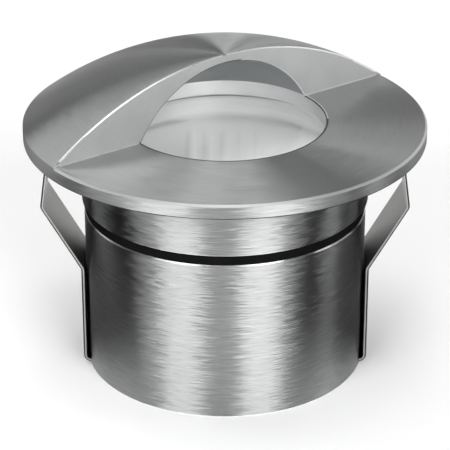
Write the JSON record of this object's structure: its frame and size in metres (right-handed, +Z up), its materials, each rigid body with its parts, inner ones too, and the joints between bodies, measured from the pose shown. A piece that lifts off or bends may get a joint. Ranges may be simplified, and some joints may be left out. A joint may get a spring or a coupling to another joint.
{
  "type": "in-ground well light",
  "caption": "Recessed round garden spotlight: hooded stainless steel trim over one light window, screw-off head, sealed housing with cable gland, and side spring clips.",
  "frame": {"origin": "middle of the housing's base rim, on the axis of the round body", "axes": "+Z up along the body's axis, the spring clips on the X axis, the hood open towards +X and -Y"},
  "size_m": [0.085, 0.085, 0.0694],
  "materials": {
    "brushed_trim": "stainless steel brushed in circles about the axis",
    "brushed_barrel": "stainless steel tube brushed round its girth",
    "brushed_plate": "satin stainless steel plate",
    "spring_strip": "bare spring steel strip",
    "screw_steel": "satin screw heads",
    "turned_aluminium": "turned aluminium",
    "polished_aluminium": "satin bright reflector",
    "glass": "clear toughened glass",
    "optic": "frosted pillow optic in clear acrylic",
    "silicone": "pale silicone",
    "black_rubber": "matt black rubber",
    "grey_rubber": "dark grey rubber",
    "grey_pad": "soft grey pad",
    "white_plastic": "moulded white polycarbonate",
    "white_board": "white solder mask",
    "green_board": "green solder mask",
    "phosphor": "yellow phosphor in a pale frame",
    "black_epoxy": "black moulded epoxy",
    "capacitor_sleeve": "dark blue shrunk sleeve",
    "ferrite": "sintered dark ferrite",
    "terminal_green": "moulded green polyamide",
    "brass": "turned brass",
    "black_nylon": "black moulded polyamide",
    "wire_insulation": "red silicone insulation"
  },
  "bodies": {
    "housing_assembly": {"housing": "brushed_barrel", "reflector_ring": "polished_aluminium", "optic_plate": "optic", "optic_holder": "white_plastic", "led_board": "white_board", "led_chips": "phosphor", "led_board_screws": "screw_steel", "thermal_pad": "grey_pad", "heat_sink": "turned_aluminium", "heat_sink_screws": "screw_steel", "led_wires": "wire_insulation", "driver_board": "green_board", "driver_chips": "black_epoxy", "driver_capacitor": "capacitor_sleeve", "driver_choke": "ferrite", "terminal_block": "terminal_green", "terminal_screws": "screw_steel", "board_standoffs": "brass", "board_screws": "screw_steel", "base_plate": "brushed_plate", "base_seal": "black_rubber", "base_screws": "screw_steel", "gland_body": "black_nylon", "gland_washer": "black_rubber", "gland_locknut": "black_nylon", "gland_seal": "grey_rubber", "gland_nut": "black_nylon", "clip_leg_left": "spring_strip", "clip_leg_right": "spring_strip", "clip_screws": "screw_steel"},
    "gasket_ring": {"body_gasket": "black_rubber"},
    "head": {"trim_cover": "brushed_trim", "head_barrel": "brushed_barrel", "glass_seal": "silicone", "glass_lens": "glass", "glass_cushion": "silicone", "glass_retaining_ring": "turned_aluminium"},
    "left_arm": {"clip_arm_left": "spring_strip"},
    "right_arm": {"clip_arm_right": "spring_strip"}
  },
  "joints": [
    {"name": "head_lift", "type": "slide", "parent": "housing_assembly", "child": "gasket_ring", "axis": [0, 0, 1], "range_m": [0, 0.00525]},
    {"name": "head_turn", "type": "hinge", "parent": "gasket_ring", "child": "head", "pos_m": [0, 0, 0.0378], "axis": [0, 0, 1], "range_deg": [0, 1260]},
    {"name": "left_arm_flex", "type": "hinge", "parent": "housing_assembly", "child": "left_arm", "pos_m": [-0.03047, 0, 0.0228], "axis": [0, 1, 0], "range_deg": [0, 12], "stiffness_Nm_per_rad": 1},
    {"name": "right_arm_flex", "type": "hinge", "parent": "housing_assembly", "child": "right_arm", "pos_m": [0.03047, 0, 0.0228], "axis": [0, -1, 0], "range_deg": [0, 12], "stiffness_Nm_per_rad": 1}
  ],
  "couplings": [
    {"joint": "head_lift", "follows": "head_turn", "m_per_rad": 0.00023873}
  ]
}
